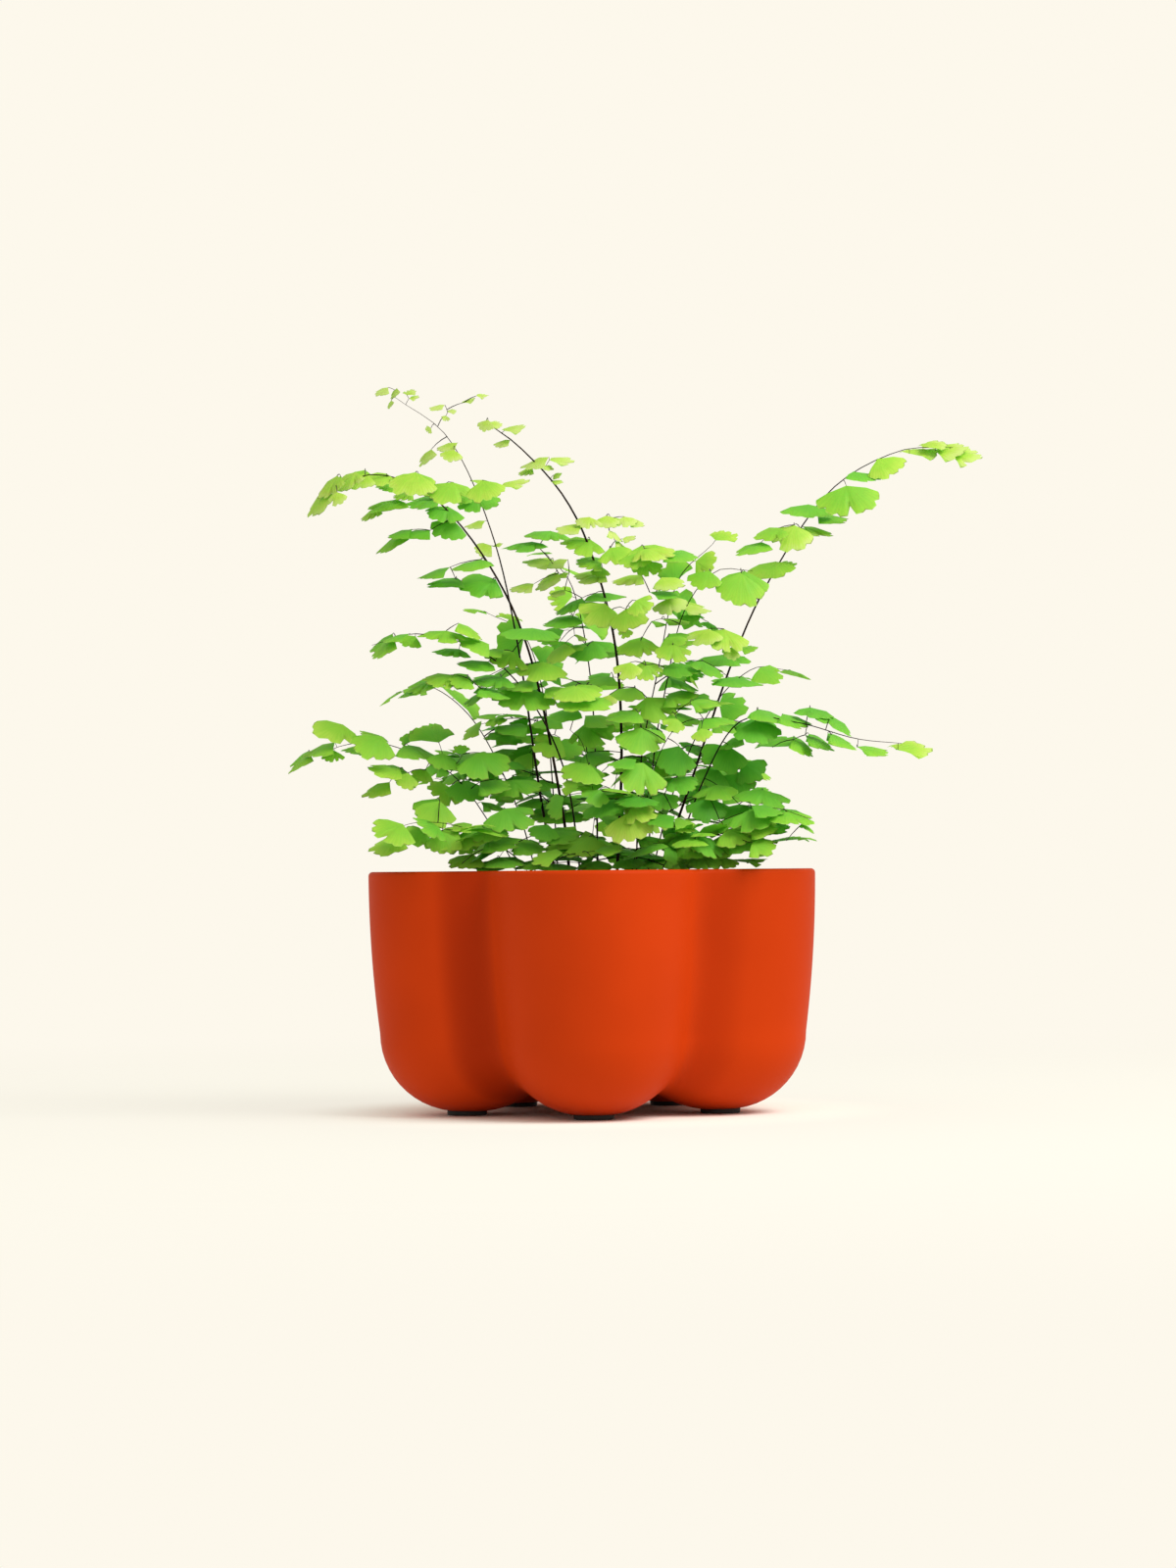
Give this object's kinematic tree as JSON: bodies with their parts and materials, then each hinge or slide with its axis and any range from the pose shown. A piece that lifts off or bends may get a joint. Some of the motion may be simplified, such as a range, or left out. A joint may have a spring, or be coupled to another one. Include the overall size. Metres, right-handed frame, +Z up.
{
  "type": "potted maidenhair fern",
  "caption": "House plant: a lobed glazed pot on small rubber feet, filled with soil, with arching wiry fern fronds of fan-shaped leaflets rising and spreading from it.",
  "frame": {"origin": "middle of the whole plant's outline as seen from above, on the surface that the pot stands on", "axes": "+Z up, -Y towards the picture's viewer (the side of the pot's front lobe), +X to that viewer's right"},
  "size_m": [0.2544, 0.174, 0.2624],
  "materials": {
    "glaze": "satin",
    "rubber": "matte",
    "soil": "matte",
    "leaf": "satin"
  },
  "bodies": {
    "root": {"pot": "glaze", "foot_1": "rubber", "foot_2": "rubber", "foot_3": "rubber", "foot_4": "rubber", "foot_5": "rubber", "soil": "soil", "frond_upper_left": "leaf", "frond_top_left": "leaf", "frond_mid_left": "leaf", "frond_low_left": "leaf", "frond_rim_left": "leaf", "frond_centre": "leaf", "frond_upper_right": "leaf", "frond_low_right": "leaf", "frond_rim_right": "leaf", "frond_centre_right": "leaf", "frond_front": "leaf", "frond_front_right": "leaf", "frond_inner_left": "leaf", "frond_inner_right": "leaf", "frond_back": "leaf", "frond_back_left": "leaf", "frond_back_right": "leaf", "frond_rim_back": "leaf"}
  },
  "joints": []
}
